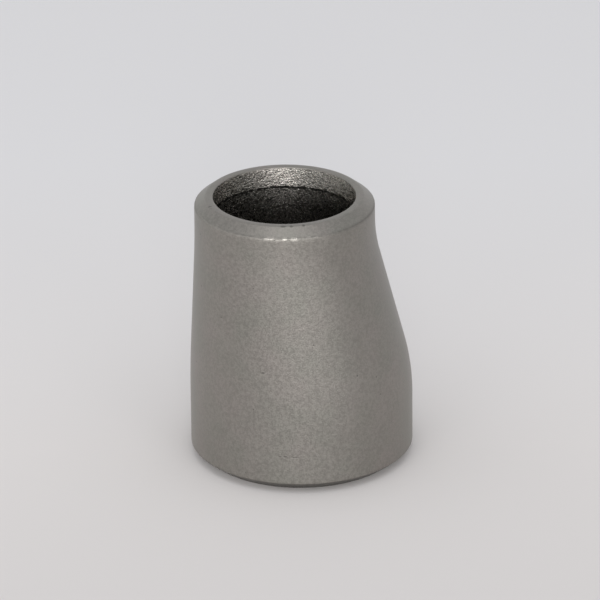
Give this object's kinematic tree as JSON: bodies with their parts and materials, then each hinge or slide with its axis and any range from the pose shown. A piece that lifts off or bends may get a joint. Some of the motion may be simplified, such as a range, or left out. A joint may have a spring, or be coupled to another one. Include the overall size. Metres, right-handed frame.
{
  "type": "eccentric pipe reducer",
  "caption": "Seamless butt-weld eccentric reducer: a thick steel shell with bevelled ends, one wall straight and the other leaning in to a smaller, offset end.",
  "frame": {"origin": "centre of the large end's face, on its axis, which is also the bottom centre of the bounding box", "axes": "+Z along the large end's axis towards the small end; the straight wall is on -X and the leaning wall on +X, so XZ is the plane of symmetry"},
  "size_m": [0.0604, 0.0602, 0.076],
  "materials": {
    "blasted_stainless": "matt, shot-blasted and pickled, warm grey"
  },
  "bodies": {
    "root": {"reducer_body": "blasted_stainless"}
  },
  "joints": []
}
